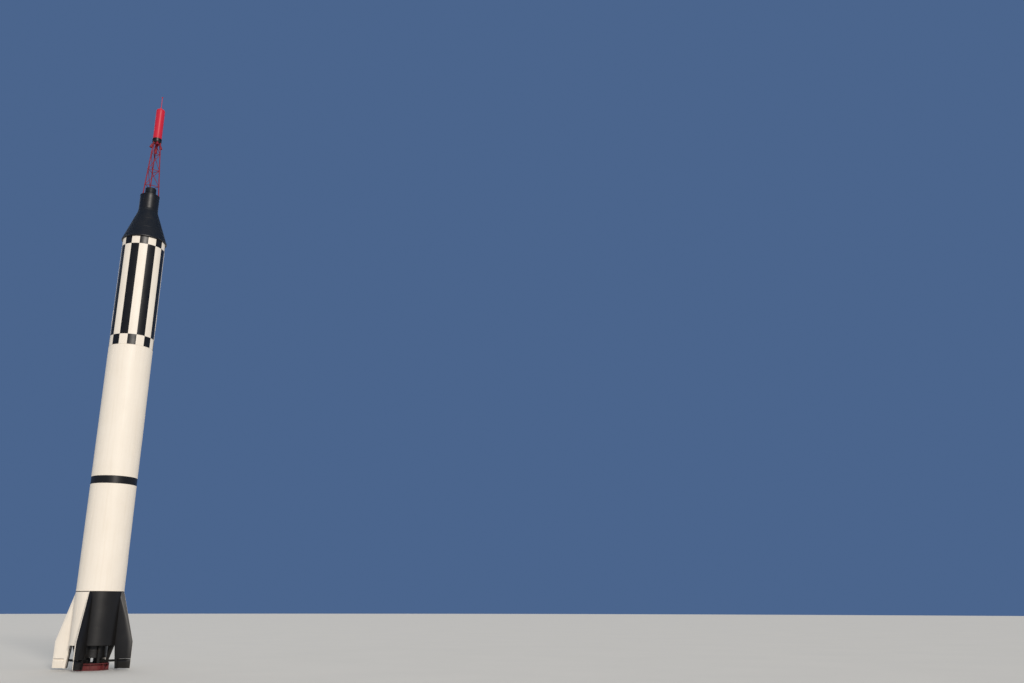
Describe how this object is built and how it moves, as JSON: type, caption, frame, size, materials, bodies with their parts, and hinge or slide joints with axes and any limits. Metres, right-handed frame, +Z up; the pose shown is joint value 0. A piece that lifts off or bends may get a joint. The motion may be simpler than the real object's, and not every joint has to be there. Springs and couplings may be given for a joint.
{
  "type": "crewed suborbital space rocket with escape tower",
  "caption": "Slender upright space rocket: cylindrical booster with tail fins, air rudders and jet vanes, conical crew capsule and a lattice escape tower with a solid motor",
  "frame": {"origin": "On the rocket's axis, on the floor under the stand that carries it", "axes": "+Z up along the rocket, from the tail to the escape tower; the four fins lie along +X, -X, +Y and -Y, and the crew hatch faces +X"},
  "size_m": [3.06, 3.06, 25.47],
  "materials": {
    "booster_white": "warm white enamel, slightly weathered",
    "booster_black": "semi-gloss black enamel",
    "engine_steel": "dark heat-stained steel",
    "vane_carbon": "matt machined carbon",
    "capsule_black": "blue-black shingle plates",
    "window_glass": "clear glass",
    "couch_padding": "grey couch padding",
    "tower_red": "dark red enamel",
    "motor_red": "bright red enamel"
  },
  "bodies": {
    "rocket": {"stand_drum": "tower_red", "stand_ring": "engine_steel", "engine_shroud": "booster_black", "tail_panel_back_right": "booster_white", "tail_panel_back_left": "booster_black", "tail_panel_front_left": "booster_white", "tail_panel_front_right": "booster_black", "base_plate": "engine_steel", "engine_block": "engine_steel", "engine_nozzle": "engine_steel", "fuel_tank": "booster_white", "black_band": "booster_black", "oxidiser_tank": "booster_white", "separation_ring": "booster_white", "instrument_section": "booster_white", "capsule_adapter": "booster_white", "heat_shield": "capsule_black", "cabin_shell": "capsule_black", "cabin_window": "window_glass", "cabin_couch": "couch_padding", "instrument_panel": "engine_steel", "recovery_skirt": "capsule_black", "recovery_section": "capsule_black", "antenna_canister": "capsule_black", "tower_clamp_ring": "capsule_black", "tower_lattice": "tower_red", "nozzle_block": "booster_black", "escape_motor": "motor_red", "nose_spike": "motor_red", "jettison_motor": "tower_red", "escape_nozzle_1": "tower_red", "escape_nozzle_2": "tower_red", "escape_nozzle_3": "tower_red", "fin_right": "booster_white", "vane_bracket_right": "engine_steel", "fin_back": "booster_white", "vane_bracket_back": "engine_steel", "fin_left": "booster_white", "vane_bracket_left": "engine_steel", "fin_front": "booster_white", "vane_bracket_front": "engine_steel"},
    "rudder_right": {"rudder_right": "booster_white"},
    "jet_vane_right": {"jet_vane_right": "vane_carbon"},
    "rudder_back": {"rudder_back": "booster_white"},
    "jet_vane_back": {"jet_vane_back": "vane_carbon"},
    "rudder_left": {"rudder_left": "booster_white"},
    "jet_vane_left": {"jet_vane_left": "vane_carbon"},
    "rudder_front": {"rudder_front": "booster_white"},
    "jet_vane_front": {"jet_vane_front": "vane_carbon"},
    "hatch": {"cabin_hatch": "capsule_black"}
  },
  "joints": [
    {"name": "rudder_right_hinge", "type": "hinge", "parent": "rocket", "child": "rudder_right", "pos_m": [1.062, 0, 0.31], "axis": [1, 0, 0], "range_deg": [-25, 25]},
    {"name": "jet_vane_right_hinge", "type": "hinge", "parent": "rocket", "child": "jet_vane_right", "pos_m": [0.4, 0, 0.31], "axis": [1, 0, 0], "range_deg": [-25, 25]},
    {"name": "rudder_back_hinge", "type": "hinge", "parent": "rocket", "child": "rudder_back", "pos_m": [0, 1.062, 0.31], "axis": [0, 1, 0], "range_deg": [-25, 25]},
    {"name": "jet_vane_back_hinge", "type": "hinge", "parent": "rocket", "child": "jet_vane_back", "pos_m": [0, 0.4, 0.31], "axis": [0, 1, 0], "range_deg": [-25, 25]},
    {"name": "rudder_left_hinge", "type": "hinge", "parent": "rocket", "child": "rudder_left", "pos_m": [-1.062, 0, 0.31], "axis": [-1, 0, 0], "range_deg": [-25, 25]},
    {"name": "jet_vane_left_hinge", "type": "hinge", "parent": "rocket", "child": "jet_vane_left", "pos_m": [-0.4, 0, 0.31], "axis": [-1, 0, 0], "range_deg": [-25, 25]},
    {"name": "rudder_front_hinge", "type": "hinge", "parent": "rocket", "child": "rudder_front", "pos_m": [0, -1.062, 0.31], "axis": [0, -1, 0], "range_deg": [-25, 25]},
    {"name": "jet_vane_front_hinge", "type": "hinge", "parent": "rocket", "child": "jet_vane_front", "pos_m": [0, -0.4, 0.31], "axis": [0, -1, 0], "range_deg": [-25, 25]},
    {"name": "hatch_lift_off", "type": "slide", "parent": "rocket", "child": "hatch", "axis": [0.941, 0, 0.3384], "range_m": [0, 0.35]}
  ],
  "couplings": [
    {"joint": "jet_vane_right_hinge", "follows": "rudder_right_hinge", "ratio": 1},
    {"joint": "jet_vane_back_hinge", "follows": "rudder_back_hinge", "ratio": 1},
    {"joint": "jet_vane_left_hinge", "follows": "rudder_left_hinge", "ratio": 1},
    {"joint": "jet_vane_front_hinge", "follows": "rudder_front_hinge", "ratio": 1}
  ]
}
